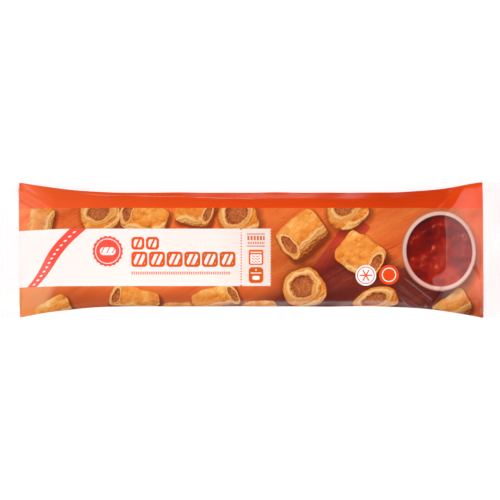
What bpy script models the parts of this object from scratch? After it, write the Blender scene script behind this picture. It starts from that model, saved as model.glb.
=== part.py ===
"""A sealed flow-wrap pack of frozen sausage rolls, lying flat with its printed side up.

The film is a tube, sealed across at both ends, so its girth is the same all along the pack.
The body's thickness therefore follows from its width seen from above: where the pack is
narrower it is thicker, and at the end seals it is flat and as wide as the empty tube.
+X runs along the pack, +Z is up, and the pack rests on the plane z = 0.
"""

import math

import bpy
from mathutils import Vector

# Driving dimensions, in metres
PACK_LENGTH = 0.440
LEFT_FIN_LENGTH = 0.0172
RIGHT_FIN_LENGTH = 0.0177
TUBE_FLAT_WIDTH = 0.119
BODY_WIDTH = 0.099
LEFT_TAPER_LENGTH = 0.098
RIGHT_TAPER_LENGTH = 0.092

# How far the full body lies towards +Y of the line between the seals' middles
BODY_SHIFT = 0.0004

# The end seals, pressed flat and drooping a little towards their cut edges. At the right end
# a few millimetres of the film inside the seal lie just as flat, and count in its length.
FIN_THICKNESS = 0.0009
SEAL_HEIGHT = 0.0105
FIN_TIP_HEIGHT = 0.0085

# The body's section: each half is a superellipse, the lower one squarer than the upper one
UPPER_EXPONENT = 3.0
LOWER_EXPONENT = 5.0
UPPER_SHARE = 0.55
SIDE_LINE_HEIGHT = 0.0145

# How finely the faceted solid follows the form
SECTION_POINTS = 56
TAPER_SECTIONS = 22
MIDDLE_SECTIONS = 12
FIN_SECTIONS = 3

FILM_COLOR = (0.79, 0.075, 0.014, 1.0)
FILM_ROUGHNESS = 0.3


def clear_scene():
    for obj in list(bpy.data.objects):
        bpy.data.objects.remove(obj, do_unlink=True)


def superellipse(angle, half_width, half_height, exponent):
    """The point at this angle, from 0 to pi, on the half of a superellipse above its long axis."""
    across = math.copysign(abs(math.cos(angle)) ** (2 / exponent), math.cos(angle))
    up = abs(math.sin(angle)) ** (2 / exponent)
    return half_width * across, half_height * up


def half_outline(half_width, half_height, exponent):
    """Points from one side line to the other, both ends included, over the top of one half."""
    steps = SECTION_POINTS // 2
    return [
        superellipse(math.pi * step / steps, half_width, half_height, exponent)
        for step in range(steps + 1)
    ]


def outline_length(points):
    return sum(math.dist(a, b) for a, b in zip(points, points[1:]))


def half_heights(half_width):
    """The upper and lower half-heights that use up the film's girth at this half-width."""
    thinnest, thickest = FIN_THICKNESS, TUBE_FLAT_WIDTH
    for _ in range(40):
        thickness = (thinnest + thickest) / 2
        upper = thickness * UPPER_SHARE
        lower = thickness - upper
        girth = outline_length(half_outline(half_width, upper, UPPER_EXPONENT))
        girth += outline_length(half_outline(half_width, lower, LOWER_EXPONENT))
        if girth < 2 * TUBE_FLAT_WIDTH:
            thinnest = thickness
        else:
            thickest = thickness
    return upper, lower


def section(x, taper):
    """The outline at x, where taper goes from 0 at an end seal to 1 where the body is full."""
    swelling = 1 - (1 - taper) ** 2
    half_width = (TUBE_FLAT_WIDTH + (BODY_WIDTH - TUBE_FLAT_WIDTH) * swelling) / 2
    side_line = SEAL_HEIGHT + (SIDE_LINE_HEIGHT - SEAL_HEIGHT) * swelling
    shift = BODY_SHIFT * swelling
    upper, lower = half_heights(half_width)
    top = [
        Vector((x, shift + y, side_line + z))
        for y, z in half_outline(half_width, upper, UPPER_EXPONENT)
    ]
    bottom = [
        Vector((x, shift - y, max(side_line - z, 0.0)))
        for y, z in half_outline(half_width, lower, LOWER_EXPONENT)
    ]
    return top[:-1] + bottom[:-1]


def fin_section(x, height):
    """The flat outline of an end seal at x, with its middle at this height."""
    half = FIN_THICKNESS / 2
    outline = half_outline(TUBE_FLAT_WIDTH / 2, half, LOWER_EXPONENT)
    top = [Vector((x, y, height + z)) for y, z in outline]
    bottom = [Vector((x, -y, height - z)) for y, z in outline]
    return top[:-1] + bottom[:-1]


def end_sections(tip_x, seal_x, taper_length):
    """Sections from an end's cut edge, over its seal and up the taper, to the full body."""
    inward = math.copysign(1, seal_x - tip_x)
    rings = []
    for step in range(FIN_SECTIONS):
        share = step / FIN_SECTIONS
        height = FIN_TIP_HEIGHT + (SEAL_HEIGHT - FIN_TIP_HEIGHT) * share
        rings.append(fin_section(tip_x + (seal_x - tip_x) * share, height))
    for step in range(TAPER_SECTIONS + 1):
        # Closer together near the seal, where the film rises most steeply
        taper = (step / TAPER_SECTIONS) ** 1.4
        rings.append(section(seal_x + inward * taper_length * taper, taper))
    return rings


def pack_sections():
    left_tip, right_tip = -PACK_LENGTH / 2, PACK_LENGTH / 2
    left_seal = left_tip + LEFT_FIN_LENGTH
    right_seal = right_tip - RIGHT_FIN_LENGTH
    left_full = left_seal + LEFT_TAPER_LENGTH
    right_full = right_seal - RIGHT_TAPER_LENGTH
    rings = end_sections(left_tip, left_seal, LEFT_TAPER_LENGTH)
    for step in range(1, MIDDLE_SECTIONS):
        x = left_full + (right_full - left_full) * step / MIDDLE_SECTIONS
        rings.append(section(x, 1.0))
    rings.extend(reversed(end_sections(right_tip, right_seal, RIGHT_TAPER_LENGTH)))
    return rings


def loft(name, rings):
    """A closed mesh through the rings, which all have the same number of points."""
    count = len(rings[0])
    points = [point for ring in rings for point in ring]
    faces = [tuple(reversed(range(count))), tuple(range(len(points) - count, len(points)))]
    for first in range(0, len(points) - count, count):
        for i in range(count):
            j = (i + 1) % count
            faces.append((first + i, first + j, first + count + j, first + count + i))
    mesh = bpy.data.meshes.new(name)
    mesh.from_pydata(points, [], faces)
    mesh.validate()
    mesh.shade_smooth()
    mesh.set_sharp_from_angle(angle=math.radians(40))
    return mesh


def film_material():
    material = bpy.data.materials.new("printed_film")
    material.use_nodes = True
    shader = material.node_tree.nodes["Principled BSDF"]
    shader.inputs["Base Color"].default_value = FILM_COLOR
    shader.inputs["Roughness"].default_value = FILM_ROUGHNESS
    shader.inputs["Metallic"].default_value = 0.0
    return material


def make_pack(collection):
    mesh = loft("pack", pack_sections())
    mesh.materials.append(film_material())
    collection.objects.link(bpy.data.objects.new("pack", mesh))


def main():
    clear_scene()
    collection = bpy.data.collections.new("frozen_sausage_roll_pack")
    bpy.context.scene.collection.children.link(collection)
    make_pack(collection)


main()
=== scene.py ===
"""The looks of a sealed flow-wrap pack of frozen sausage rolls, seen from straight above."""

import math

import bpy
import numpy as np
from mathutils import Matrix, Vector


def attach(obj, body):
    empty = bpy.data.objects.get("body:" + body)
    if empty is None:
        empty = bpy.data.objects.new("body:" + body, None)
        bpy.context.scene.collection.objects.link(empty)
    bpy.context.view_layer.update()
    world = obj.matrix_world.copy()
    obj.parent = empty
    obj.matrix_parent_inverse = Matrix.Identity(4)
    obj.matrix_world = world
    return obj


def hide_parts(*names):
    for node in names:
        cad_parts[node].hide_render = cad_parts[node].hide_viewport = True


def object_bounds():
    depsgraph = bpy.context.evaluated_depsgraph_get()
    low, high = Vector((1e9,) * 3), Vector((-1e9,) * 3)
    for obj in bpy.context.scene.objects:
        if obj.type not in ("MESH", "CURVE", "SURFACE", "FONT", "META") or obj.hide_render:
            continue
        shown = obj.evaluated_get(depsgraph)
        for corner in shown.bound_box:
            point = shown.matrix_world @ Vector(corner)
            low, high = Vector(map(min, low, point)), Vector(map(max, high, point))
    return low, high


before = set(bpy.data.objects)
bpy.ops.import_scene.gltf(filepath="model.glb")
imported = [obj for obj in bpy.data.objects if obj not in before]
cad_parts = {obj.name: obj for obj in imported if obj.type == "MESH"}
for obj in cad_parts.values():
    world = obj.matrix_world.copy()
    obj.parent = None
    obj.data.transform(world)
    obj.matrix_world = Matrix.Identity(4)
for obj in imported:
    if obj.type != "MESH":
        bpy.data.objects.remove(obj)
cad_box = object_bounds()

MM = 0.001

# The film, in millimetres. It is a tube that both end seals press flat.
PACK_LENGTH = (cad_box[1].x - cad_box[0].x) / MM
TUBE_FLAT_WIDTH = (cad_box[1].y - cad_box[0].y) / MM
GIRTH = 2 * TUBE_FLAT_WIDTH
BODY_WIDTH = 99.0
LEFT_SEAL_X = -PACK_LENGTH / 2 + 17.2
RIGHT_SEAL_X = PACK_LENGTH / 2 - 15.1
LEFT_TAPER = 98.0
RIGHT_TAPER = 92.0
# Flat film inside the right seal, and how far the full body lies towards +Y
RIGHT_FLAT = 2.6
BODY_SHIFT = 0.4
# How far the seals' inner edges lean: this much towards -X at the pack's +Y side
SEAL_LEAN = 0.38
SEAL_HEIGHT = 10.5
FIN_TIP_HEIGHT = 8.5
FIN_THICKNESS = 0.6
SIDE_LINE_HEIGHT = 14.5
UPPER_EXPONENT = 3.0
LOWER_EXPONENT = 5.0
UPPER_SHARE = 0.55
UNDERSIDE_HEIGHT = 0.5
# How steeply the printed side may fall towards its +Y and -Y edges, where the film turns down
BACK_SLOPE = 0.79
FRONT_SLOPE = 0.84

# How finely the film is cut. ROWS_ALONG is a multiple of ROWS_FOR_EACH_SEAM_ROW, so that the film
# and its seam end in the same place.
ROWS_ALONG = 408
ROWS_ON_TOP = 168
ROWS_BELOW = 72
ROWS_FOR_EACH_SEAM_ROW = 3
OUTLINE_STEPS = 720
# How much closer together than on average the rows along the film are at the seals, as a share
END_CROWDING = 0.35

# The share of light that white film sends back
WHITE_FILM = 0.9

# The camera
LENS_MM = 100.0
SENSOR_MM = 36.0


def srgb(red, green, blue):
    """The ink that shows as this screen colour, from 0 to 255, where white film shows as 255."""
    shares = np.array([red, green, blue]) / 255
    linear = np.where(shares <= 0.04045, shares / 12.92, ((shares + 0.055) / 1.055) ** 2.4)
    return (*(linear * WHITE_FILM).tolist(), 1.0)


def smoothstep(low, high, value):
    share = np.clip((value - low) / (high - low), 0, 1)
    return share * share * (3 - 2 * share)


# The film's form


def outline(half_width, upper, lower):
    """Points round a section, from the middle of the underside over -Y, the top and +Y."""
    turn = np.linspace(-np.pi, np.pi, OUTLINE_STEPS + 1)
    on_top = np.abs(turn) <= np.pi / 2
    power = 2 / np.where(on_top, UPPER_EXPONENT, LOWER_EXPONENT)
    height = np.where(on_top, upper, lower)
    y = half_width * np.sign(np.sin(turn)) * np.abs(np.sin(turn)) ** power
    z = height * np.sign(np.cos(turn)) * np.abs(np.cos(turn)) ** power
    return y, z


def section(half_width):
    """The outline at this half-width whose length is the film's girth, and its running length."""
    thinnest, thickest = FIN_THICKNESS, TUBE_FLAT_WIDTH
    for _ in range(30):
        thickness = (thinnest + thickest) / 2
        y, z = outline(half_width, thickness * UPPER_SHARE, thickness * (1 - UPPER_SHARE))
        run = np.concatenate([[0], np.cumsum(np.hypot(np.diff(y), np.diff(z)))])
        if run[-1] < GIRTH:
            thinnest = thickness
        else:
            thickest = thickness
    return y, z, run


def swelling(x):
    """From 0 at an end seal to 1 where the body is full."""
    left = np.clip((x - LEFT_SEAL_X) / LEFT_TAPER, 0, 1)
    right = np.clip((RIGHT_SEAL_X - RIGHT_FLAT - x) / RIGHT_TAPER, 0, 1)
    return 1 - (1 - np.minimum(left, right)) ** 2


def plain_film(stations, around):
    """The film's points with no wrinkles, one row for each station along the pack."""
    points = np.empty((len(stations), len(around), 3))
    wanted = around / GIRTH + 0.5  # as a share of the girth, from the underside's middle
    for row, x in zip(points, stations):
        full = swelling(x)
        half_width = (TUBE_FLAT_WIDTH + (BODY_WIDTH - TUBE_FLAT_WIDTH) * full) / 2
        side_line = SEAL_HEIGHT + (SIDE_LINE_HEIGHT - SEAL_HEIGHT) * full
        y, z, run = section(half_width)
        share = run / run[-1]
        row[:, 0] = x
        row[:, 1] = np.interp(wanted, share, y) + BODY_SHIFT * full
        row[:, 2] = np.maximum(np.interp(wanted, share, z) + side_line, UNDERSIDE_HEIGHT)
    add_shoulders(points, around)
    return points


def add_shoulders(points, around):
    """Raises the printed side's edges, so that neither is steeper than its slope named above."""
    middle = len(around) // 2
    reach = int(np.argmin(np.abs(around - TUBE_FLAT_WIDTH / 2))) - middle
    for step, slope in ((1, BACK_SLOPE), (-1, FRONT_SLOPE)):
        for place in range(middle + step, middle + step * (reach + 1), step):
            inner, outer = points[:, place - step], points[:, place]
            lowest = inner[:, 2] - slope * np.abs(outer[:, 1] - inner[:, 1])
            outer[:, 2] = np.maximum(outer[:, 2], lowest)


def seal_lean(x, y):
    """How far the film and the seals lie towards -X, near the seals' inner edges."""
    near = np.exp(-np.abs(x - LEFT_SEAL_X) / 12) + np.exp(-np.abs(x - RIGHT_SEAL_X) / 12)
    return SEAL_LEAN * near * y / (TUBE_FLAT_WIDTH / 2)


def normals_of(points):
    along = np.gradient(points, axis=0)
    around = np.gradient(points, axis=1)
    normal = np.cross(along, around)
    return normal / np.maximum(np.linalg.norm(normal, axis=2, keepdims=True), 1e-9)


WAVES = 18


def rumple(u, v, length_along, length_around, seed):
    """Smooth waves of about these lengths, of about unit size."""
    draw = np.random.default_rng(seed)
    total = np.zeros_like(u)
    for _ in range(WAVES):
        along = draw.uniform(0.5, 1.5) / length_along
        around = draw.uniform(-1.5, 1.5) / length_around
        total += np.sin(2 * np.pi * (along * u + around * v) + draw.uniform(0, 2 * np.pi))
    return total / math.sqrt(WAVES / 2)


# How far from its ends a crease has its full height
CREASE_FADE = 5.0


def crease(u, v, start, end, height, width):
    """A ridge like a pleat, or a valley if height is negative, along the line from start to end."""
    run = np.subtract(end, start)
    length = np.hypot(*run)
    along = ((u - start[0]) * run[0] + (v - start[1]) * run[1]) / length
    across = ((v - start[1]) * run[0] - (u - start[0]) * run[1]) / length
    reach = smoothstep(0, CREASE_FADE, along) * smoothstep(length, length - CREASE_FADE, along)
    return height * reach * np.maximum(1 - np.abs(across) / width, 0)


def facet(from_seal, reach, dip, lift, spread, blunt):
    """A flat slope that leads up from a seal to a fold at this reach, blunt by some millimetres."""
    share = np.clip(from_seal / reach, 0, 1)
    off = np.sqrt((from_seal - reach) ** 2 + blunt**2) - blunt
    fold = np.exp(-off / spread) * smoothstep(0, 0.6, share)
    return lift * fold - dip * 4 * share * (1 - share)


# Where the film folds at each end: places round the film, and how far from the seal at each
LEFT_FOLD = (
    (-60, -44, -33, 0, 15, 22, 37, 48, 54, 60),
    (28, 31, 35, 31, 26, 29, 28, 20, 13, 5),
)
RIGHT_FOLD = (
    (-60, -50, -38, -36, -25, -18, 0, 31, 37, 60),
    (51, 49, 42, 49, 50, 38, 38, 38, 32, 16),
)
# A fold that is nearer the seal than this is lower
LEFT_FULL_REACH = 28.0
RIGHT_FULL_REACH = 38.0
# How far the film rises straight from the right seal
RIGHT_RISE = 3.0
# The folds fade out between these places round the film, at its long edges
FOLDS_END = (58.0, 74.0)


def end_folds(u, v):
    """How far the folded ends of the film stand above its plain form."""
    bend = rumple(v, v, 90, 34, 21)
    left_reach = np.interp(v, *LEFT_FOLD) + 0.6 * bend
    left_share = np.minimum(left_reach / LEFT_FULL_REACH, 1)
    left_blunt = 2.5 + 5 * smoothstep(20, -40, v)
    left = facet(u - u.min(), left_reach, 1.2, 0.8, 12.0, left_blunt) * left_share
    right_reach = np.interp(v, *RIGHT_FOLD) + 0.8 * bend
    right_share = np.minimum(right_reach / RIGHT_FULL_REACH, 1)
    from_right = u.max() - u
    right = facet(from_right, right_reach, 1.8, 0.9, 14.0, 0.8) * right_share
    past_rise = np.maximum(from_right - RIGHT_RISE, 0)
    swell = np.minimum(from_right, RIGHT_RISE) * np.exp(-past_rise / 14)
    right += 0.62 * swell * (1 - smoothstep(54, 60, np.abs(v)))
    return (left + right) * (1 - smoothstep(*FOLDS_END, np.abs(v)))


CREASES = (
    # start, end, height or depth, half width
    ((-209, 54), (-172, 36), 1.5, 4.0),
    ((-208, 46), (-180, 33), -0.9, 3.0),
    ((-208, 62), (-200, 49), -1.5, 2.6),
    ((182, 56), (160, 34), 0.45, 2.4),
    ((129, -23), (163, -49), 1.2, 2.0),
    ((122, -30), (150, -52), 1.9, 5.5),
    ((170, -31), (155, -53), 1.4, 2.2),
    ((195, -8), (206, -23), 0.8, 1.8),
    ((204.5, -16), (204.5, -28), 0.6, 1.2),
    ((205.5, -41), (205.5, -54), 0.6, 1.2),
    ((-204.6, -30), (-204.6, -62), -0.5, 1.3),
)


# The waves and creases fade out between these places round the film, under its long sides
WRINKLES_END = (70.0, 84.0)


def wrinkles(u, v):
    """How far the film stands out from its plain form."""
    from_left = u - u.min()
    from_right = u.max() - u
    near_seal = np.exp(-from_left / 14) + np.exp(-from_right / 14)
    at_seal = smoothstep(0, 4, from_left) * smoothstep(0, 4, from_right)
    height = (0.16 * rumple(u, v, 60, 46, 3) + 0.10 * near_seal * rumple(u, v, 70, 9, 5)) * at_seal
    pinned = smoothstep(0, 1.2, from_left) * smoothstep(0, 1.2, from_right)
    for line in CREASES:
        height += crease(u, v, *line) * pinned
    around = np.abs(v)
    height *= 1 - smoothstep(*WRINKLES_END, around)

    # The long sides are pushed in a little here and there
    side = smoothstep(59.5, 64, around) * (1 - smoothstep(67, 74, around))
    ends = smoothstep(0, 30, from_left) * smoothstep(0, 30, from_right)
    dents = 0.9 * rumple(u, v, 50, 60, 7) + 0.3 * rumple(u, v, 18, 34, 8) - 0.6
    return height + side * ends * np.minimum(dents, 0)


def add_object(name, data):
    added = bpy.data.objects.new(name, data)
    bpy.context.scene.collection.objects.link(added)
    return added


def add_piece(name, mesh, material):
    piece = add_object(name, mesh)
    mesh.materials.append(material)
    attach(piece, "root")
    return piece


def film_rows():
    """Where the rows round the film lie: closer together on the printed side."""
    quarter = TUBE_FLAT_WIDTH / 2
    top = np.linspace(-quarter, quarter, ROWS_ON_TOP + 1)
    side = np.linspace(quarter, TUBE_FLAT_WIDTH, ROWS_BELOW // 2 + 1)[1:]
    return np.concatenate([-side[::-1], top, side])


def film_stations():
    """Where the rows along the film lie: closer together near the seals."""
    share = np.linspace(0, 1, ROWS_ALONG + 1)
    eased = share - END_CROWDING * np.sin(2 * np.pi * share) / (2 * np.pi)
    return LEFT_SEAL_X + (RIGHT_SEAL_X - LEFT_SEAL_X) * eased


# The pictured rolls, in two layers: middle, turn in degrees, half length, half width, place and
# half length of the cut end, and how square the roll is, all lengths in millimetres on the film
ROLLS = {
    "near": (
        ((-184, 24), 78, 15, 12, 0, 0, 6.0),
        ((-92, 27), -20, 20, 14.5, -15, 5.5, 7.0),
        ((-10, 29), 118, 18, 16, 2.6, 14.0, 2.4),
        ((45, 13), 38, 20, 15.5, -15, 6.5, 7.0),
        ((95, -5), -32, 19.5, 16, 15, 6.0, 7.0),
        ((178, -51), 35, 17, 12, -14, 4.0, 6.0),
        ((-172, -55), 25, 17, 12, 0, 0, 6.0),
        ((-100, -45), -18, 21, 12, -17, 5.0, 7.0),
        ((-30, -45), 20, 20, 12, 16, 5.0, 7.0),
    ),
    "far": (
        ((-130, 31), 105, 16, 17, 2.6, 12.5, 2.5),
        ((-48, 34), -14, 16, 13, 12, 5.0, 7.0),
        ((84, 35), 128, 16, 18, 2.8, 12.0, 2.5),
        ((47, -34), 116, 19.5, 17.5, 2.8, 15.5, 2.4),
        ((8, -54), 8, 15, 8, 0, 0, 5.0),
        ((109, -46), 112, 14, 19, 2.0, 11.0, 2.5),
        ((-62, -56), 5, 15, 9, 0, 0, 5.0),
    ),
}
# How far round a roll its own coordinates reach, and a place far from any roll
ROLL_MARGIN = 10.0
NOWHERE = 1000.0
# Where the light comes from in the picture
PICTURE_LIGHT = np.array([-0.55, 0.83])


def place_motifs(mesh, layer, corner_film, face_middle):
    """Gives the faces round each roll of a layer their own coordinates and facts."""
    count = len(face_middle)
    local = np.full((len(corner_film), 2), NOWHERE)
    size = np.zeros((count, 3))
    cut = np.zeros((count, 3))
    light = np.zeros((count, 3))
    nearest = np.full(count, ROLL_MARGIN)
    for number, roll in enumerate(ROLLS[layer]):
        middle, turn, half_length, half_width, cut_at, cut_half, squareness = roll
        angle = math.radians(turn)
        axis = np.array([math.cos(angle), math.sin(angle)])
        side = np.array([-math.sin(angle), math.cos(angle)])
        away = face_middle - np.array(middle)
        past_end = np.abs(away @ axis) - half_length
        past_side = np.abs(away @ side) - half_width
        outside = np.maximum(past_end, past_side)
        inside = outside < nearest
        nearest[inside] = outside[inside]
        # The third value sets where in the noises the roll lies
        size[inside] = (half_length, half_width, 0.37 + 3.7 * number)
        cut[inside] = (cut_at, max(cut_half, 0.01), squareness)
        light[inside] = (PICTURE_LIGHT @ axis, PICTURE_LIGHT @ side, 0)
        corners = np.repeat(inside, 4)
        away = corner_film[corners] - np.array(middle)
        local[corners] = np.stack([away @ axis, away @ side], axis=1)
    add_uv(mesh, layer, local, NOWHERE)
    for name, values in (("size", size), ("cut", cut), ("light", light)):
        attribute = mesh.attributes.new(f"{layer}_{name}", "FLOAT_VECTOR", "FACE")
        whole = np.zeros((len(mesh.polygons), 3), np.float32)
        whole[:count] = values
        attribute.data.foreach_set("vector", whole.ravel())


def add_uv(mesh, name, values, rest):
    """A UV map with these values on the first corners, and rest on the others."""
    uv = mesh.uv_layers.new(name=name)
    whole = np.full((len(mesh.loops), 2), rest, np.float32)
    whole[: len(values)] = values
    uv.data.foreach_set("uv", whole.ravel())


# How the film lies on a square picture: the printed side in two strips, the rest beside them
PRINTED_HALF = 62.0
STRIP_SCALE = 1 / 260
STRIP_GAP = 0.012
BACK_LEFT = 0.83
BACK_STEP = 0.085
BACK_SCALE = (0.0013, 1 / 435)
# Where the rest of the faces, the flat ends, lie
PICTURE_CORNER = 0.995


def picture_map(corner_film, face_middle):
    """Where each corner of the film lies on a square picture of it."""
    middle = np.repeat(face_middle, 4, axis=0)
    u, v = corner_film[:, 0], corner_film[:, 1]
    left, top = middle[:, 0] < 0, np.abs(middle[:, 1]) < PRINTED_HALF
    strip_x = STRIP_GAP + np.where(left, u - u.min(), u) * STRIP_SCALE
    row = np.where(left, STRIP_GAP, 0.5 + STRIP_GAP / 2)
    strip_y = row + (v + PRINTED_HALF) * STRIP_SCALE
    column = np.where(middle[:, 1] > 0, BACK_LEFT, BACK_LEFT + BACK_STEP)
    back_x = column + (np.abs(v) - PRINTED_HALF) * BACK_SCALE[0]
    back_y = STRIP_GAP + (u - u.min()) * BACK_SCALE[1]
    return np.stack([np.where(top, strip_x, back_x), np.where(top, strip_y, back_y)], axis=1)


def film_form():
    """The film's places, along and around, and its points, with its folds and creases."""
    stations, around = film_stations(), film_rows()
    points = plain_film(stations, around)
    top = points[:, len(around) // 2]
    run = np.concatenate([[0], np.cumsum(np.linalg.norm(np.diff(top, axis=0), axis=1))])
    film_u = run - np.interp(0, stations, run)
    u, v = np.meshgrid(film_u, around, indexing="ij")
    points += normals_of(points) * wrinkles(u, v)[:, :, None]
    points[:, :, 2] = np.maximum(points[:, :, 2] + end_folds(u, v), UNDERSIDE_HEIGHT)
    points[:, :, 0] -= seal_lean(points[:, :, 0], points[:, :, 1])
    return u, v, points


def make_film(u, v, points):
    """The printed tube of film, from seal to seal."""
    rows, columns = u.shape[0], u.shape[1] - 1
    index = np.arange(rows * columns).reshape(rows, columns)
    following = np.roll(index, -1, axis=1)
    faces = np.stack(
        [index[:-1], index[1:], following[1:], following[:-1]], axis=-1
    ).reshape(-1, 4)
    corner_u = np.stack([u[:-1, :-1], u[1:, :-1], u[1:, 1:], u[:-1, 1:]], axis=-1).ravel()
    corner_v = np.stack([v[:-1, :-1], v[1:, :-1], v[1:, 1:], v[:-1, 1:]], axis=-1).ravel()
    corner_film = np.stack([corner_u, corner_v], axis=1)
    face_middle = corner_film.reshape(-1, 4, 2).mean(axis=1)
    caps = [index[0].tolist(), index[-1][::-1].tolist()]
    mesh = bpy.data.meshes.new("film")
    mesh.from_pydata(points[:, :-1].reshape(-1, 3) * MM, [], faces.tolist() + caps)
    add_uv(mesh, "film", corner_film, 0)
    for layer in ROLLS:
        place_motifs(mesh, layer, corner_film, face_middle)
    add_uv(mesh, "OFBake", picture_map(corner_film, face_middle), PICTURE_CORNER)
    mesh.shade_smooth()
    mesh.set_sharp_from_angle(angle=math.radians(38))
    piece = add_piece("film", mesh, film_material())
    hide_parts("pack")


# The print, drawn by shader nodes from distances on the film


class Field:
    """A number, place or colour that varies from point to point, as a shader node gives it."""

    def __init__(self, tree, socket):
        self.tree, self.socket = tree, socket

    def node(self, kind, operation, *values, clamp=False):
        made = self.tree.nodes.new(kind)
        made.operation = operation
        if clamp:
            made.use_clamp = True
        for socket, value in zip(made.inputs, (self, *values)):
            if isinstance(value, Field):
                self.tree.links.new(value.socket, socket)
            else:
                socket.default_value = value
        return made

    def math(self, operation, *values, clamp=False):
        made = self.node("ShaderNodeMath", operation, *values, clamp=clamp)
        return Field(self.tree, made.outputs[0])

    def place(self, operation, *values):
        made = self.node("ShaderNodeVectorMath", operation, *values)
        return Field(self.tree, made.outputs[0])

    def measure(self, operation, *values):
        """The number that this vector operation gives."""
        made = self.node("ShaderNodeVectorMath", operation, *values)
        return Field(self.tree, made.outputs["Value"])

    def __add__(self, other):
        return self.math("ADD", other)

    def __sub__(self, other):
        return self.math("SUBTRACT", other)

    def __mul__(self, other):
        return self.math("MULTIPLY", other)

    def __truediv__(self, other):
        return self.math("DIVIDE", other)

    def flipped(self):
        """One less this."""
        return self.math("MULTIPLY_ADD", -1.0, 1.0)

    def size(self):
        return self.math("ABSOLUTE")

    def within(self, edge, blur=0.18):
        """1 where this is under edge, and 0 where it is over."""
        return self.math("MULTIPLY_ADD", -1 / blur, 0.5 + edge / blur, clamp=True)

    def beyond(self, edge, blur=0.18):
        """1 where this is over edge, and 0 where it is under."""
        return self.math("MULTIPLY_ADD", 1 / blur, 0.5 - edge / blur, clamp=True)

    def parts(self):
        made = self.tree.nodes.new("ShaderNodeSeparateXYZ")
        self.tree.links.new(self.socket, made.inputs[0])
        return [Field(self.tree, socket) for socket in made.outputs]

    def from_middle(self, x, y):
        return self.place("SUBTRACT", (x, y, 0))

    def circle(self, x, y):
        """How far this place is from x, y."""
        return self.measure("DISTANCE", (x, y, 0))

    def turned(self, degrees):
        made = self.tree.nodes.new("ShaderNodeVectorRotate")
        made.rotation_type = "Z_AXIS"
        made.inputs["Angle"].default_value = math.radians(degrees)
        self.tree.links.new(self.socket, made.inputs["Vector"])
        return Field(self.tree, made.outputs[0])

    def block(self, x, y, half_width, half_height, corner, blur=0.18):
        """1 inside a block with round corners."""
        core = (half_width - corner, half_height - corner, 0)
        over = self.from_middle(x, y).place("ABSOLUTE").place("SUBTRACT", core)
        return over.place("MAXIMUM", (0, 0, 0)).measure("LENGTH").within(corner, blur)

    def texture(self, scale, detail, roughness):
        made = self.tree.nodes.new("ShaderNodeTexNoise")
        made.inputs["Scale"].default_value = scale
        made.inputs["Detail"].default_value = detail
        made.inputs["Roughness"].default_value = roughness
        self.tree.links.new(self.socket, made.inputs["Vector"])
        return made

    def noise(self, scale, detail=3.0, roughness=0.5):
        made = self.texture(scale, detail, roughness)
        return Field(self.tree, made.outputs["Fac"])

    def lumps(self, scale):
        """How far this place is from the nearest of scattered points, in their own spacing."""
        made = self.tree.nodes.new("ShaderNodeTexVoronoi")
        made.inputs["Scale"].default_value = scale
        self.tree.links.new(self.socket, made.inputs["Vector"])
        return Field(self.tree, made.outputs["Distance"])

    def relief(self, toward, scale, detail):
        """Over 0 where bumps of this scale slope down towards this side, under 0 behind them."""
        return self.noise(scale, detail) - self.place("ADD", toward).noise(scale, detail)

    def drifted(self, scale, amount):
        """This place, moved about by a noise."""
        made = self.texture(scale, 2.0, 0.5)
        drift = Field(self.tree, made.outputs["Color"]).place("SUBTRACT", (0.5, 0.5, 0.5))
        return drift.place("MULTIPLY_ADD", (amount, amount, 0), self)


def mix(share, first, second):
    """A colour between two, each a colour or another mix's Field."""
    tree = share.tree
    made = tree.nodes.new("ShaderNodeMix")
    made.data_type = "RGBA"
    for name, value in (("Factor_Float", share), ("A_Color", first), ("B_Color", second)):
        socket = next(s for s in made.inputs if s.identifier == name)
        if isinstance(value, Field):
            tree.links.new(value.socket, socket)
        else:
            socket.default_value = value
    return Field(tree, next(s for s in made.outputs if s.identifier == "Result_Color"))


def ramp(share, *stops):
    """The colour that these stops, each a place from 0 to 1 and a colour, give a number."""
    made = share.tree.nodes.new("ShaderNodeValToRGB")
    share.tree.links.new(share.socket, made.inputs[0])
    elements = made.color_ramp.elements
    elements[0].position, elements[0].color = stops[0]
    elements[1].position, elements[1].color = stops[-1]
    for where, colour in stops[1:-1]:
        elements.new(where).color = colour
    return Field(share.tree, made.outputs[0])


def shaded(colour, share):
    """A colour times a number."""
    made = colour.tree.nodes.new("ShaderNodeVectorMath")
    made.operation = "SCALE"
    colour.tree.links.new(colour.socket, made.inputs[0])
    colour.tree.links.new(share.socket, made.inputs["Scale"])
    return Field(colour.tree, made.outputs[0])


def uv_field(tree, name):
    made = tree.nodes.new("ShaderNodeUVMap")
    made.uv_map = name
    return Field(tree, made.outputs[0])


def attribute_field(tree, name):
    made = tree.nodes.new("ShaderNodeAttribute")
    made.attribute_name = name
    return Field(tree, made.outputs["Vector"])


def coordinate_field(tree, name):
    return Field(tree, tree.nodes.new("ShaderNodeTexCoord").outputs[name])


def new_material(name):
    """A material, its node tree and its shader."""
    material = bpy.data.materials.new(name)
    material.use_nodes = True
    return material, material.node_tree, material.node_tree.nodes["Principled BSDF"]


def finish_film(tree, shader, colour, roughness, specular_level):
    tree.links.new(colour.socket, shader.inputs["Base Color"])
    tree.links.new(roughness.socket, shader.inputs["Roughness"])
    shader.inputs["Specular IOR Level"].default_value = specular_level


RED = srgb(255, 85, 70)
WHITE = srgb(255, 245, 242)


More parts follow.
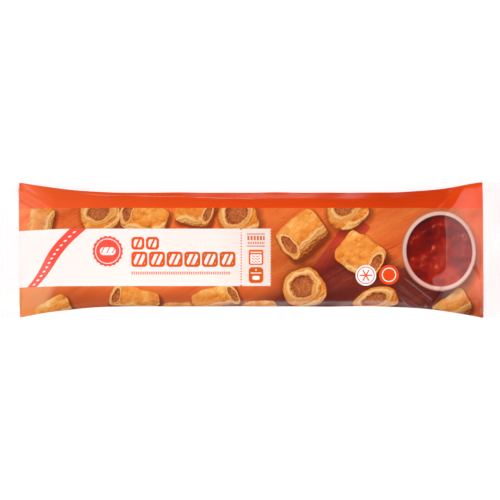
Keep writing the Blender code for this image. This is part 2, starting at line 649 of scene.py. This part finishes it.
def draw_board(place):
    """Orange boards with a grain, a red plank across them, and dark ones at the lower right."""
    along = place.drifted(0.02, 6).turned(-28)
    fine = along.place("MULTIPLY", (0.07, 1.5, 1)).noise(1.0, 4.0, 0.65)
    broad = along.place("MULTIPLY", (0.012, 0.07, 1)).noise(1.0, 2.0, 0.5)
    grain = along.place("MULTIPLY", (0.02, 0.3, 1)).noise(1.0, 2.0, 0.55)
    lines = (grain * 9.0).math("PINGPONG", 0.5).within(0.07, 0.1)
    _, over, _ = along.parts()
    gap = (over + 7.0).math("PINGPONG", 24.0).within(0.3, 0.5)
    tone = (fine - 0.5) * 0.5 + (broad - 0.5) * 0.6 + 0.5 - lines * 0.1 - gap * 0.2
    orange = ramp(
        tone,
        (0.28, srgb(208, 76, 36)),
        (0.42, srgb(233, 102, 46)),
        (0.54, srgb(243, 119, 55)),
        (0.70, srgb(252, 142, 72)),
    )
    brick = ramp(
        tone,
        (0.3, srgb(166, 48, 34)),
        (0.5, srgb(198, 66, 42)),
        (0.7, srgb(214, 86, 54)),
    )
    maroon = ramp(
        tone,
        (0.3, srgb(80, 26, 24)),
        (0.5, srgb(108, 38, 32)),
        (0.7, srgb(138, 54, 42)),
    )

    # Painted shade towards the right end, a painted sheen by the left seal, and darker at the left
    # end
    x, y, _ = place.parts()
    shade = x.beyond(125, 130) * -0.42 + x.within(-130, 40) * -0.12 + x.within(-184, 20) * 0.3
    # Darker round the middle rolls
    shade = shade - place.circle(38, -12).within(32, 52) * 0.4
    colour = shaded(orange, shade + 1.0)

    # Brown along the near edge, with a pale corner at the left that is a painted sheen
    brown = mix(broad, srgb(184, 70, 38), srgb(222, 110, 52))
    colour = mix(y.within(-34, 14), colour, brown)
    corner = (x * 0.9 - y * 0.45).within(-140, 7) * y.within(-25, 8)
    colour = mix(corner * 0.8, colour, mix(tone, srgb(238, 128, 66), srgb(250, 168, 100)))

    # The red plank
    slanted, rising, _ = place.from_middle(76, -2).turned(-54).parts()
    plank = rising.beyond(-10, 0.5) * rising.within(10, 0.5) * slanted.within(34, 0.5)
    colour = mix(plank, colour, brick)

    # The dark boards, and a light red one beyond the bowl
    below = (x * 0.72 - y + (broad - 0.5) * 24.0).beyond(53, 22)
    below = below * (x * 0.25 + y + (broad - 0.5) * 16.0).within(22, 9)
    right = (x - y * 0.15).within(183, 9)
    colour = mix(below * right * 0.95, colour, maroon)
    far = (x + y * 0.2).beyond(191, 12)
    return mix(far, colour, mix(tone, srgb(198, 76, 44), srgb(238, 114, 68)))


class Rolls:
    """What the pictured rolls of a layer are drawn from, each value for the nearest roll."""

    def __init__(self, tree, layer):
        self.local = uv_field(tree, layer)
        self.sizes = attribute_field(tree, f"{layer}_size")
        self.half_length, self.half_width, _ = self.sizes.parts()
        cut = attribute_field(tree, f"{layer}_cut")
        self.cut_at, self.cut_half, self.squareness = cut.parts()
        self.light = attribute_field(tree, f"{layer}_light")
        self.light_x, self.light_y, _ = self.light.parts()
        self.there = self.half_width.beyond(1, 1)

        # Each roll takes its noises from a place of its own
        shift = self.light.place("CROSS_PRODUCT", self.sizes.place("MULTIPLY", (0, 0, 31)))
        self.spot = self.local.place("ADD", shift)
        self.mottle = self.spot.noise(0.11, 3.0, 0.5) - 0.5
        self.flake = self.spot.noise(0.7, 3.0, 0.6) - 0.5

        # The outline wanders in and out a little
        wavy = Field(tree, self.spot.texture(0.075, 2.0, 0.4).outputs["Color"])
        wander = wavy.place("SUBTRACT", (0.5, 0.5, 0.5))
        self.body = wander.place("MULTIPLY_ADD", (5.5, 5.5, 0), self.local)
        self.along, self.across, _ = self.body.parts()

    def fullness(self, where):
        """Under 1 inside a roll's outline, 1 on it and more outside."""
        x, y, _ = where.place("DIVIDE", self.sizes).place("ABSOLUTE").parts()
        power = self.squareness * 0.4 + 1.6
        return x.math("POWER", self.squareness) + y.math("POWER", power)


def draw_roll_shadows(rolls, under):
    fallen = rolls.light.place("MULTIPLY_ADD", (3.4, 3.4, 0), rolls.body)
    fallen = fallen.place("MULTIPLY", (0.93, 0.93, 0))
    shadow = rolls.fullness(fallen).within(1.1, 1.0) * rolls.there
    return mix(shadow * 0.78, under, srgb(98, 32, 20))


def draw_pastry(rolls, colour):
    """The rolls' glazed tops, and their flanks away from the light."""
    # The outline ends in the cut end's own curve
    from_cut = (rolls.along - rolls.cut_at) * rolls.cut_at.math("SIGN")
    past_cut = (from_cut / rolls.cut_half).math("MAXIMUM", 0.0)
    across_y = rolls.across / rolls.half_width
    end = past_cut * past_cut + across_y * across_y
    form = rolls.fullness(rolls.body).math("MAXIMUM", end)

    # The top, lit from one side and toasted here and there
    across_x = rolls.along / rolls.half_length
    lean_x = across_x * across_x.size() * across_x.size()
    facing = lean_x * rolls.light_x * 0.7 + across_y * rolls.light_y
    step = rolls.light.place("MULTIPLY", (1.5, 1.5, 0))
    bumps = rolls.spot.relief(step, 0.12, 3.0)
    lit = facing * 0.28 + rolls.mottle * 0.8 + rolls.flake * 0.3 + bumps * 1.3
    lit = lit + 0.5 - form.beyond(0.9, 0.3) * 0.16
    pastry = ramp(
        lit,
        (0.10, srgb(156, 72, 30)),
        (0.28, srgb(204, 108, 42)),
        (0.48, srgb(234, 140, 58)),
        (0.66, srgb(246, 166, 80)),
        (0.92, srgb(254, 204, 132)),
    )
    toast = (rolls.spot.noise(0.06, 3.0, 0.6) + rolls.mottle * 0.3).beyond(0.54, 0.14)
    pastry = mix(toast * 0.6, pastry, srgb(226, 122, 38))

    # The flank: thin pale layers, brown towards the board
    drop = facing * -1.0 + rolls.mottle * 0.5 - 0.3
    layers = (drop * 30.0 + rolls.mottle * 9.0 + rolls.flake * 3.0).math("SINE") * 0.12
    flank = ramp(
        drop * -0.95 + 0.72 + layers + rolls.flake * 0.5 + rolls.mottle * 0.4,
        (0.08, srgb(120, 54, 22)),
        (0.28, srgb(180, 98, 42)),
        (0.52, srgb(218, 150, 80)),
        (0.80, srgb(240, 192, 124)),
    )
    pastry = mix(drop.beyond(0.0, 0.1), pastry, flank)
    ridge = drop.size().within(0.02, 0.09) * 0.42
    pastry = mix(ridge, pastry, srgb(252, 206, 136))
    return mix(form.within(1.0, 0.08) * rolls.there, colour, pastry)


def draw_cut_ends(rolls, colour):
    """The rolls' cut ends: pastry wound round the meat, which lies a little deeper."""
    mottle, flake = rolls.mottle, rolls.flake
    face_x = (rolls.along - rolls.cut_at) / rolls.cut_half
    face_y = rolls.across / (rolls.half_width * 0.96)
    ring = (face_x * face_x + face_y * face_y).math("SQRT")
    toward = face_x * rolls.light_x + face_y * rolls.light_y
    uneven = ring + mottle * 0.42 + flake * 0.12
    wound = (ring * 26.0 + face_y.math("ARCTAN2", face_x) + mottle * 12.0).math("SINE") * 0.1
    browned = uneven.beyond(0.93, 0.2) * 0.34 + uneven.within(0.66, 0.12) * 0.26
    crust = ramp(
        toward * 0.1 + 0.62 + wound + flake * 0.6 - browned,
        (0.10, srgb(146, 74, 36)),
        (0.30, srgb(198, 116, 56)),
        (0.52, srgb(226, 154, 82)),
        (0.78, srgb(246, 194, 126)),
    )
    grain = rolls.spot.lumps(0.5) * -0.34 + 0.7 + flake * 0.9 + mottle * 0.5 + toward * -0.16
    meat = ramp(
        grain - uneven.beyond(0.5, 0.2) * 0.26,
        (0.12, srgb(102, 42, 30)),
        (0.32, srgb(152, 76, 42)),
        (0.54, srgb(184, 96, 50)),
        (0.82, srgb(214, 134, 80)),
    )
    face = mix(uneven.within(0.6, 0.05), crust, meat)
    return mix((ring + flake * 0.06).within(0.97, 0.05) * rolls.there, colour, face)


def draw_rolls(tree, layer, under):
    """A layer of pictured rolls over what is under them."""
    rolls = Rolls(tree, layer)
    colour = draw_roll_shadows(rolls, under)
    colour = draw_pastry(rolls, colour)
    return draw_cut_ends(rolls, colour)


BOWL_X, BOWL_Y, BOWL_RADIUS = 166.0, -1.0, 35.0


def draw_bowl(place, colour):
    """A round bowl of red sauce, seen from above."""
    offset = place.from_middle(BOWL_X, BOWL_Y)
    away = offset.measure("LENGTH")
    toward = offset.measure("DOT_PRODUCT", (*PICTURE_LIGHT, 0)) / BOWL_RADIUS
    shadow = place.circle(BOWL_X + 3.5, BOWL_Y - 5).within(BOWL_RADIUS, 9) * 0.7
    colour = mix(shadow, colour, srgb(70, 22, 22))

    x, _, _ = place.parts()
    swirl = place.drifted(0.04, 26).noise(0.05, 2.0, 0.45)
    bumps = place.drifted(0.05, 12).relief((*PICTURE_LIGHT * 3.0, 0), 0.042, 2.0)
    depth = (swirl - 0.5) * 0.9 + bumps * 1.8 - toward * 0.3 + 0.46 - x.beyond(182, 30) * 0.12
    sauce = ramp(
        depth,
        (0.1, srgb(86, 18, 17)),
        (0.36, srgb(124, 22, 16)),
        (0.56, srgb(154, 34, 20)),
        (0.78, srgb(184, 56, 30)),
        (0.95, srgb(210, 88, 52)),
    )
    gleam = bumps.beyond(0.075, 0.05) * away.within(27, 4)
    gleam = gleam * place.noise(0.12, 3.0).beyond(0.48, 0.08)
    sauce = mix(gleam * 0.55, sauce, srgb(226, 122, 90))
    wall = away.beyond(BOWL_RADIUS - 6.5, 3) * toward.beyond(0.1, 0.6)
    sauce = mix(wall * 0.6, sauce, srgb(60, 16, 20))

    bright = toward.size() * 0.5 + 0.45 + (place.noise(0.5, 2.0) - 0.5) * 0.5
    rim = mix(bright, srgb(190, 130, 114), srgb(226, 186, 172))
    rim = mix(away.beyond(BOWL_RADIUS - 0.9, 1.2), rim, srgb(170, 104, 86))
    bowl = mix(away.beyond(BOWL_RADIUS - 3.9, 0.8), sauce, rim)
    return mix(away.within(BOWL_RADIUS, 0.5), colour, bowl)


# The label: the height of its middle line, its half height, its right end, where its stub begins,
# and the stub's middle
LABEL_Y = -6.8
LABEL_HALF_HEIGHT = 24.8
LABEL_RIGHT = 18.3
STUB_LINE = -7.6
STUB_X = 5.2

# Where the ribbon crosses the film's middle line, and how far it leans for each millimetre up
RIBBON_X = -165.4
RIBBON_SLANT = 0.891


def draw_ribbon(place, label):
    """A red stripe with white dots, slanting across the label's left end."""
    x, y, _ = place.parts()
    bent = (y * 0.112 + 1.23).math("SINE") * 2.3
    off = (x - y * RIBBON_SLANT - RIBBON_X + bent).size()
    half = y.math("MULTIPLY_ADD", 0.06, 6.5)
    label = mix((off - half).within(0, 0.3), label, RED)
    bead = y.math("PINGPONG", 1.9)
    return mix((bead * bead + off * off * 0.5).within(0.75, 0.3), label, WHITE)


ROUND_MARK = (-122.8, -1.4)


def draw_round_mark(place, label):
    """A round mark with a scalloped edge, a ring and a small loaf."""
    mark = place.from_middle(*ROUND_MARK)
    mark_x, mark_y, _ = mark.parts()
    angle = mark_y.math("ARCTAN2", mark_x)
    radius = mark.measure("LENGTH")
    scallop = (angle * 20.0).math("COSINE") * 0.4
    label = mix((radius + scallop).within(13.0), label, RED)
    label = mix((radius - 10.6).size().within(0.35), label, WHITE)
    loaf = mark.block(0, 0, 6.8, 3.4, 3.2)
    label = mix(loaf, label, WHITE)
    slash = (mark_x + mark_y * -0.5).math("PINGPONG", 2.4).within(0.5)
    return mix(loaf * slash * mark_y.beyond(-1.6), label, RED)


ICON_ROWS = (
    # left end, middle's height, count, half width, half height, gap
    (-102.3, 5.4, 2, 5.6, 5.5, 1.4),
    (-102.3, -8.4, 6, 6.9, 6.6, 1.4),
)


def draw_icons(place, label, ink):
    """Two rows of small rolls, in outline, with slashes."""
    for left, row, count, half_width, half_height, gap in ICON_ROWS:
        pitch = 2 * half_width + gap
        icon_x, icon_y, _ = place.from_middle(left - gap / 2, row).parts()
        cell = icon_x.math("MODULO", pitch) - pitch / 2
        made = label.tree.nodes.new("ShaderNodeCombineXYZ")
        label.tree.links.new(cell.socket, made.inputs[0])
        label.tree.links.new(icon_y.socket, made.inputs[1])
        icon = Field(label.tree, made.outputs[0])
        span = icon_x.beyond(0) * icon_x.within(pitch * count)
        outer = icon.block(0, 0, half_width, half_height, 3.0)
        inner = icon.block(0, 0, half_width - 2.1, half_height - 2.1, 1.5)
        slashes = (cell + icon_y * -0.45).math("PINGPONG", 2.5).within(0.95)
        line = outer * (inner * slashes.flipped()).flipped() * span
        label = mix(line, label, ink)
    return label


def draw_stub(place, label, ink):
    """The label's right end: two rules with bars between them, an oven and a badge."""
    x, y, _ = place.parts()
    for rule in (13.4, 3.0):
        label = mix(place.block(5.0, rule, 7.9, 0.4, 0.3), label, ink)
    for row, half, pitch in ((9.9, 1.9, 1.35), (5.7, 1.0, 1.0)):
        bars = x.math("PINGPONG", pitch).beyond(0.42) * place.block(5.0, row, 7.7, half, 0.2)
        label = mix(bars * 0.9, label, ink)

    oven = srgb(245, 100, 30)
    label = mix(place.block(STUB_X, -6.7, 6.3, 6.6, 1.6), label, oven)
    label = mix(place.block(STUB_X, -8.2, 4.8, 3.9, 0.8), label, WHITE)
    heat = (x * 2.2).math("SINE") * 0.6 + y + 8.2
    heat = heat.math("PINGPONG", 1.2).within(0.42) * place.block(STUB_X, -8.2, 3.8, 3.0, 0.5)
    label = mix(heat, label, oven)
    label = mix(place.block(STUB_X, -2.4, 4.8, 0.45, 0.3), label, WHITE)

    label = mix(place.block(STUB_X, -22.1, 6.3, 6.9, 3.2), label, srgb(215, 92, 26))
    label = mix(place.block(STUB_X, -20.2, 4.6, 0.35, 0.2), label, WHITE)
    label = mix(place.circle(STUB_X, -17.6).within(0.7), label, WHITE)
    return mix(place.block(STUB_X, -24.4, 3.2, 1.7, 1.5), label, WHITE)


def draw_label(place, colour):
    """The white ticket with its stripe, marks and stub."""
    x, y, _ = place.parts()
    # Painted shade: the ticket is creamier and darker towards the right, with a little uneven tone
    cream = x.beyond(-6, 50) * 0.65 + x.beyond(-130, 120) * 0.26 + place.noise(0.02, 2.0) * 0.12
    label = mix(cream, WHITE, srgb(236, 217, 206))
    label = draw_ribbon(place, label)
    label = draw_round_mark(place, label)
    ink = mix(x.beyond(-60, 60), srgb(238, 84, 26), srgb(214, 92, 28))
    label = draw_icons(place, label, ink)

    # A fine broken line under the icons
    dash = x.math("PINGPONG", 0.95).beyond(0.32)
    fine = (y + 20.3).size().within(1.25) * dash * (x + 59.5).size().within(43)
    label = mix(fine * 0.75, label, ink)

    # The dotted line where the stub begins
    dot_x, dot_y, _ = place.from_middle(STUB_LINE, LABEL_Y).parts()
    hole = dot_y.math("PINGPONG", 1.19).math("POWER", 2.0) + dot_x.math("POWER", 2.0)
    hole = hole.within(0.38, 0.3) * dot_y.size().within(21.5)
    label = mix(hole, label, srgb(232, 78, 30))
    label = draw_stub(place, label, ink)

    # The outline: it sags at the left, is notched at the stub's line and toothed at the right end
    sag = (x * -1.0 - 165.0).math("MAXIMUM", 0.0) * 0.036
    rows = (y - LABEL_Y + sag).size()
    notch = ((x - STUB_LINE).size() * -1.0).math("MAXIMUM", -1.4) + 1.4
    edge = x + y.math("PINGPONG", 1.23) * 0.8
    inside = (rows + notch).within(LABEL_HALF_HEIGHT, 0.3) * edge.within(LABEL_RIGHT)
    return mix(inside, colour, label)


STAR_DISC = (100.0, -22.3)
RING_DISC = (119.9, -21.8)


def draw_discs(place, colour):
    """A white disc with a snow star in an orange ring, and an orange disc with a white ring."""
    orange = srgb(234, 76, 26)
    away = place.from_middle(*STAR_DISC)
    radius = away.measure("LENGTH")
    colour = mix(radius.within(8.9), colour, WHITE)
    colour = mix((radius - 7.2).size().within(0.4), colour, orange)
    star_x, star_y, _ = away.parts()
    sector = star_y.math("ARCTAN2", star_x).math("PINGPONG", math.pi / 6)
    star = (sector.math("SINE") * radius).within(0.55) * radius.within(5.4)
    colour = mix(star, colour, orange)
    radius = place.circle(*RING_DISC)
    colour = mix(radius.within(8.6), colour, orange)
    return mix((radius - 5.8).size().within(0.4), colour, WHITE)


# The band lies beyond its edge, and past the picture's end round the other long side. Its shades
# run over the film's whole length.
BAND_EDGE = 36.1
PICTURE_END = -64.0
HALF_FILM = 210.0


def draw_band(place, colour):
    """The plain orange along the far edge and round to the back, paler at both ends, with painted
    light.
    """
    x, y, _ = place.parts()
    # Along the film: a painted sheen pales the left end, and painted shade darkens the band to the
    # right
    band = ramp(
        (x + HALF_FILM) / (2 * HALF_FILM) + (place.noise(0.03, 2.0) - 0.5) * 0.1,
        (0.03, srgb(252, 108, 62)),
        (0.09, srgb(238, 88, 38)),
        (0.30, srgb(232, 76, 24)),
        (0.45, srgb(231, 72, 18)),
        (0.62, srgb(225, 68, 15)),
        (0.80, srgb(209, 58, 9)),
        (0.91, srgb(212, 59, 9)),
        (0.96, srgb(234, 72, 16)),
    )
    # Painted shade: darker a little past the band's edge, towards where the film turns down
    bright = y.beyond(38.5, 9).flipped() * 0.08 + 0.96
    band = shaded(band, bright)

    # A painted highlight: a pale broken streak near the edge
    glint_noise = place.place("MULTIPLY", (0.05, 0.6, 1)).noise(1.0, 3.0, 0.6)
    line = (y + (glint_noise - 0.5) * 2.0 + x * 0.035 - 45.1).size()
    line = line.within(0.35, 0.4) * glint_noise.beyond(0.42, 0.1)
    line = line * (x + 66.0).size().within(76, 12)
    band = mix(line * 0.28, band, srgb(255, 196, 168))
    colour = mix(y.beyond(BAND_EDGE, 0.3), colour, band)
    return mix(y.within(PICTURE_END), colour, band)


# The bare panels: how far round the film their middles are, and their half length and width
PANEL_V = 92.0
PANEL_HALF_LENGTH = 168.0
PANEL_HALF_WIDTH = 17.0


def draw_back(place, colour):
    """Two bare cream panels on the underside, one on each side of the long seam."""
    around = place.place("ABSOLUTE")
    panel = around.block(0, PANEL_V, PANEL_HALF_LENGTH, PANEL_HALF_WIDTH, 4)
    return mix(panel, colour, srgb(250, 240, 228))


def film_material():
    material, tree, shader = new_material("printed_film")
    place = uv_field(tree, "film")
    colour = draw_board(place)
    colour = draw_rolls(tree, "far", colour)
    colour = draw_rolls(tree, "near", colour)
    colour = draw_bowl(place, colour)

    # The picture is darker along its near edge
    x, y, _ = place.parts()
    edge = y.within(-42, 20) * x.beyond(-180, 50)
    colour = shaded(colour, edge * -0.4 + 1.0)
    colour = draw_label(place, colour)
    colour = draw_discs(place, colour)
    colour = draw_band(place, colour)
    colour = draw_back(place, colour)
    finish_film(tree, shader, colour, place.noise(0.09, 3.0) * 0.1 + 0.16, 0.125)
    return material


# The crimped end seals


def slab(name, x, y, high, low, flip):
    """A thin closed sheet between two heights over a grid; flip is for a grid that runs to -X."""
    top = np.stack([x, y, high], axis=-1).reshape(-1, 3)
    under = np.stack([x, y, low], axis=-1).reshape(-1, 3)
    index = np.arange(x.size).reshape(x.shape)
    a, b, c, d = index[:-1, :-1], index[1:, :-1], index[1:, 1:], index[:-1, 1:]
    up = np.stack([a, b, c, d], axis=-1).reshape(-1, 4)
    down = up[:, ::-1] + len(top)
    rim = np.concatenate([index[:, 0], index[-1, 1:], index[-2::-1, -1], index[0, -2:0:-1]])
    after = np.roll(rim, -1)
    side = np.stack([rim, rim + len(top), after + len(top), after], axis=-1)
    faces = np.concatenate([up, down, side])
    if flip:
        faces = faces[:, ::-1]
    mesh = bpy.data.meshes.new(name)
    mesh.from_pydata(np.concatenate([top, under]) * MM, [], faces.tolist())
    mesh.shade_smooth()
    mesh.set_sharp_from_angle(angle=math.radians(60))
    return mesh


CRIMP_PITCH = 2.2
CRIMP_DEPTH = 0.06
# How far the seals reach into the film, and how finely they are cut
SEAL_OVERLAP = 0.3
SEAL_ROWS = 80
SEAL_COLUMNS = 90


def make_seal(name, tip_x, seal_x, seed):
    """A flat crimped seal, its ridges running across the pack."""
    share = np.linspace(0, 1, SEAL_ROWS + 1)
    x = tip_x + (seal_x - tip_x) * share
    y = np.linspace(-TUBE_FLAT_WIDTH / 2, TUBE_FLAT_WIDTH / 2, SEAL_COLUMNS + 1)
    grid_x, grid_y = np.meshgrid(x, y, indexing="ij")
    shares = np.broadcast_to(share[:, None], grid_x.shape)
    droop = FIN_TIP_HEIGHT + (SEAL_HEIGHT - FIN_TIP_HEIGHT) * shares
    fade = smoothstep(0, 0.08, shares) * smoothstep(1, 0.92, shares)
    ridges = CRIMP_DEPTH * np.sin(2 * np.pi * grid_x / CRIMP_PITCH) * fade
    wave = 0.6 * rumple(grid_x, grid_y, 90, 60, seed) * (1 - shares)
    middle = droop + ridges + wave
    leaning_x = grid_x - seal_lean(grid_x, grid_y) * shares
    half = FIN_THICKNESS / 2
    mesh = slab(name, leaning_x, grid_y, middle + half, middle - half, tip_x > seal_x)
    add_piece(name, mesh, seal_material())


SEAM_WIDTH = 12.0
SEAM_COLUMNS = 72
SEAM_THICKNESS = 0.2
SEAM_GAP = 0.1
SEAM_PITCH = 1.3
SEAM_DEPTH = 0.06
# How far the ridges fade out at the seam's long edges
SEAM_FADE = 1.5


def make_back_seam(v, points):
    """The long seam under the pack: a strip with fine ridges, folded flat against the film."""
    across = np.linspace(0, SEAM_WIDTH, SEAM_COLUMNS + 1)
    every = slice(None, None, ROWS_FOR_EACH_SEAM_ROW)
    rows = [
        [np.interp(TUBE_FLAT_WIDTH - across, places, row[:, axis]) for axis in range(3)]
        for places, row in zip(v[every], points[every])
    ]
    x, y, film_z = np.moveaxis(np.array(rows), 1, 0)
    fade = smoothstep(0, SEAM_FADE, across)
    fade = fade * smoothstep(SEAM_WIDTH, SEAM_WIDTH - SEAM_FADE, across)
    ridges = SEAM_DEPTH * np.sin(2 * np.pi * across / SEAM_PITCH) * fade
    high = film_z - SEAM_GAP
    low = high - SEAM_THICKNESS - ridges
    mesh = slab("back_seam", x, y, high, low, False)
    add_piece("back_seam", mesh, seam_material())


def seam_material():
    """Orange film, scuffed pale in streaks along the seam."""
    material, tree, shader = new_material("seam_film")
    place = coordinate_field(tree, "Object")
    streak = place.place("MULTIPLY", (14, 900, 0)).noise(1.0, 3.0, 0.6)
    cloud = place.noise(60, 3.0)
    ink = mix(cloud, srgb(220, 68, 24), srgb(236, 88, 40))
    colour = mix(streak.beyond(0.62, 0.2) * 0.5, ink, srgb(250, 150, 110))
    finish_film(tree, shader, colour, streak * 0.3 + 0.2, 0.3)
    return material


def seal_material():
    """Nearly white film with faint warm streaks; painted shade makes it a little greyer at the
    right end.
    """
    if "seal_film" in bpy.data.materials:
        return bpy.data.materials["seal_film"]
    material, tree, shader = new_material("seal_film")
    place = coordinate_field(tree, "Object")
    streak = place.place("MULTIPLY", (900, 24, 0)).noise(1.0, 3.0, 0.6)
    cloud = place.noise(45, 3.0)
    tint = (streak - 0.5) * 1.2 + cloud
    colour = mix(tint.beyond(0.5, 0.8), srgb(254, 250, 251), srgb(252, 244, 243))
    x, _, _ = place.parts()
    # Painted shade on the right seal
    colour = mix(x.beyond(0.0, 0.1) * 0.7, colour, srgb(240, 232, 232))
    finish_film(tree, shader, colour, cloud * 0.2 + 0.25, 0.26)
    return material


# The surroundings


FLOOR_HALF = 3.0
# The floor glows, so that it shows as nearly white
FLOOR_GREY = 0.3
FLOOR_GLOW = 0.765


def make_floor():
    mesh = bpy.data.meshes.new("floor")
    corners = [(x * FLOOR_HALF, y * FLOOR_HALF, 0) for x, y in ((-1, -1), (1, -1), (1, 1), (-1, 1))]
    mesh.from_pydata(corners, [], [(0, 1, 2, 3)])
    floor = add_object("floor", mesh)
    material, _, shader = new_material("pale_floor")
    shader.inputs["Base Color"].default_value = (FLOOR_GREY, FLOOR_GREY, FLOOR_GREY, 1)
    shader.inputs["Roughness"].default_value = 0.9
    shader.inputs["Specular IOR Level"].default_value = 0.1
    shader.inputs["Emission Color"].default_value = (1, 1, 1, 1)
    shader.inputs["Emission Strength"].default_value = FLOOR_GLOW
    mesh.materials.append(material)


# How far the softboxes stand from the pack
CARD_DISTANCE = 1.8


def softbox(name, direction, size, radiance):
    """An area light that faces the pack from this direction."""
    data = bpy.data.lights.new(name, "AREA")
    data.shape = "RECTANGLE"
    data.size, data.size_y = size
    data.energy = radiance * math.pi * size[0] * size[1]
    light = add_object(name, data)
    light.location = Vector(direction).normalized() * CARD_DISTANCE
    light.rotation_mode = "QUATERNION"
    light.rotation_quaternion = (-light.location).to_track_quat("-Z", "Y")


def lean(degrees, x, y):
    """The direction this far from straight up, towards x, y."""
    angle = math.radians(degrees)
    return (math.sin(angle) * x, math.sin(angle) * y, math.cos(angle))


# The room's brightness: its walls to the left and right, the rest of it, and straight overhead
LEFT_WALL_LIGHT = 5.6
RIGHT_WALL_LIGHT = 7.7
ROOM_LIGHT = 0.2
OVERHEAD_LIGHT = 0.02
# How far out to a side a wall begins, as a share of a unit direction
WALL_EDGE = 0.68
# The share of the walls' brightness that is left low down
LOW_WALL_SHARE = 0.14


def make_world():
    """A dim room, dark overhead, with white walls to the left and right that are dim low down."""
    world = bpy.data.worlds.new("studio")
    bpy.context.scene.world = world
    world.use_nodes = True
    tree = world.node_tree
    aim = coordinate_field(tree, "Generated")
    x, y, z = aim.parts()

    # The walls widen towards the front, where the right one ends early
    front = (y * -0.15).math("MAXIMUM", 0.0)
    left_wall = (front - x).beyond(WALL_EDGE, 0.05)
    right_wall = (front + x).beyond(WALL_EDGE, 0.05) * y.beyond(-0.6, 0.08)
    walls = left_wall * LEFT_WALL_LIGHT + right_wall * RIGHT_WALL_LIGHT
    walls = walls * (z.beyond(0.42, 0.16) * (1 - LOW_WALL_SHARE) + LOW_WALL_SHARE)
    away = aim.place("MULTIPLY", (1, 1, 0)).measure("LENGTH")
    room = away.beyond(0.3, 0.25) * (ROOM_LIGHT - OVERHEAD_LIGHT) + OVERHEAD_LIGHT
    strength = walls + room
    tree.links.new(strength.socket, tree.nodes["Background"].inputs["Strength"])
    tree.nodes["Background"].inputs["Color"].default_value = (1, 1, 1, 1)


def make_lights():
    softbox("back_card", lean(79, 0.046, 1), (0.206, 0.3), 12.5)
    softbox("front_card", lean(76, 0.05, -1), (1.6, 0.5), 1.2)
    softbox("low_card", lean(82, 0.1, -1), (0.42, 0.24), 17.0)
    make_world()


def make_camera():
    data = bpy.data.cameras.new("camera")
    data.lens, data.sensor_width = LENS_MM, SENSOR_MM
    camera = add_object("camera", data)
    distance = PACK_LENGTH * MM * LENS_MM / SENSOR_MM
    camera.location = (0, 0, FIN_TIP_HEIGHT * MM + distance)
    bpy.context.scene.camera = camera


film_u, film_v, film_points = film_form()
make_film(film_u, film_v, film_points)
make_back_seam(film_v, film_points)
make_seal("left_seal", -PACK_LENGTH / 2, LEFT_SEAL_X + SEAL_OVERLAP, 11)
make_seal("right_seal", PACK_LENGTH / 2, RIGHT_SEAL_X - SEAL_OVERLAP, 12)
make_floor()
make_lights()
make_camera()
bpy.context.scene.view_settings.view_transform = "Standard"
